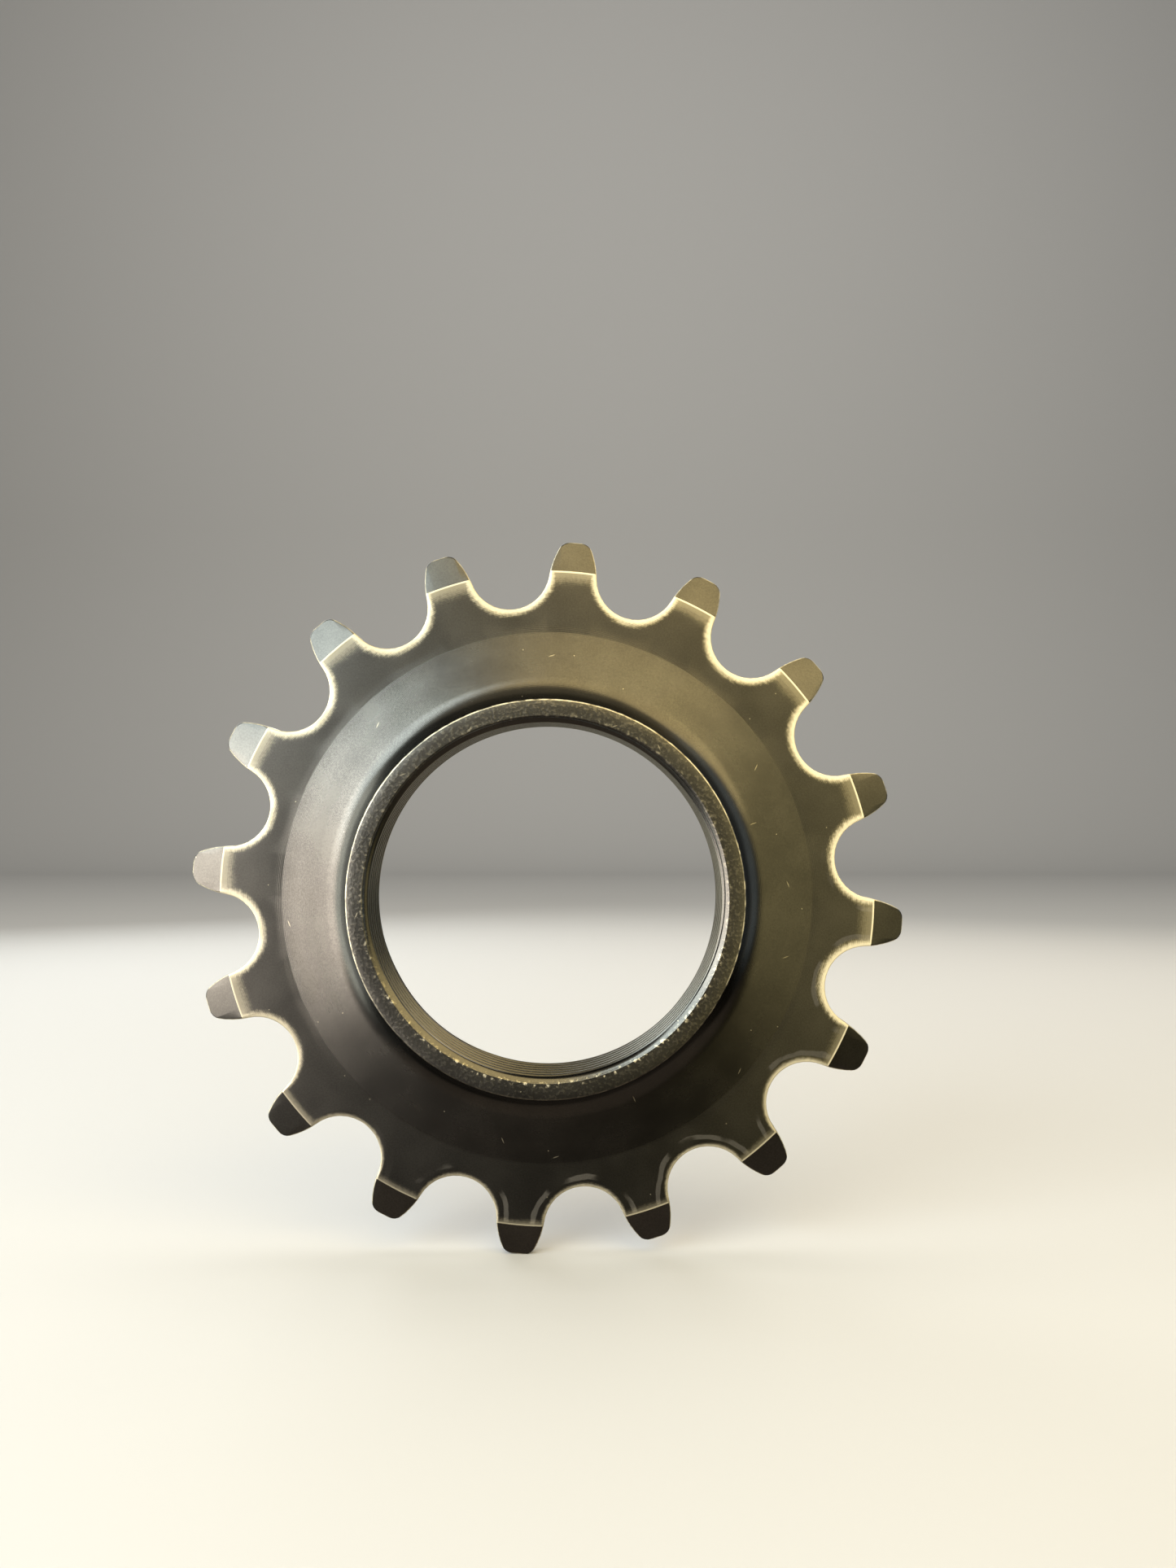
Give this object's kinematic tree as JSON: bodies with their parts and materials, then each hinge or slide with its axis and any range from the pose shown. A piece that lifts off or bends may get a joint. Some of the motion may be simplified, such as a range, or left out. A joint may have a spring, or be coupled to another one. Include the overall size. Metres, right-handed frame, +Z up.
{
  "type": "track sprocket",
  "caption": "Rear sprocket of a fixed-gear bicycle: a flat toothed ring with bevelled tips, a coned web and a raised round boss, screwed on by the thread in its bore.",
  "frame": {"origin": "on the sprocket's axis, halfway between the boss face and the flat back", "axes": "+Y along the sprocket's axis, from the boss towards the flat back; +Z up, with one tooth 4.65 degrees from +Z towards +X"},
  "size_m": [0.0704, 0.007, 0.0704],
  "materials": {
    "blackened_steel": "dark oxide on turned steel, satin, worn to bare metal along the tooth edges"
  },
  "bodies": {
    "root": {"track_cog": "blackened_steel"}
  },
  "joints": []
}
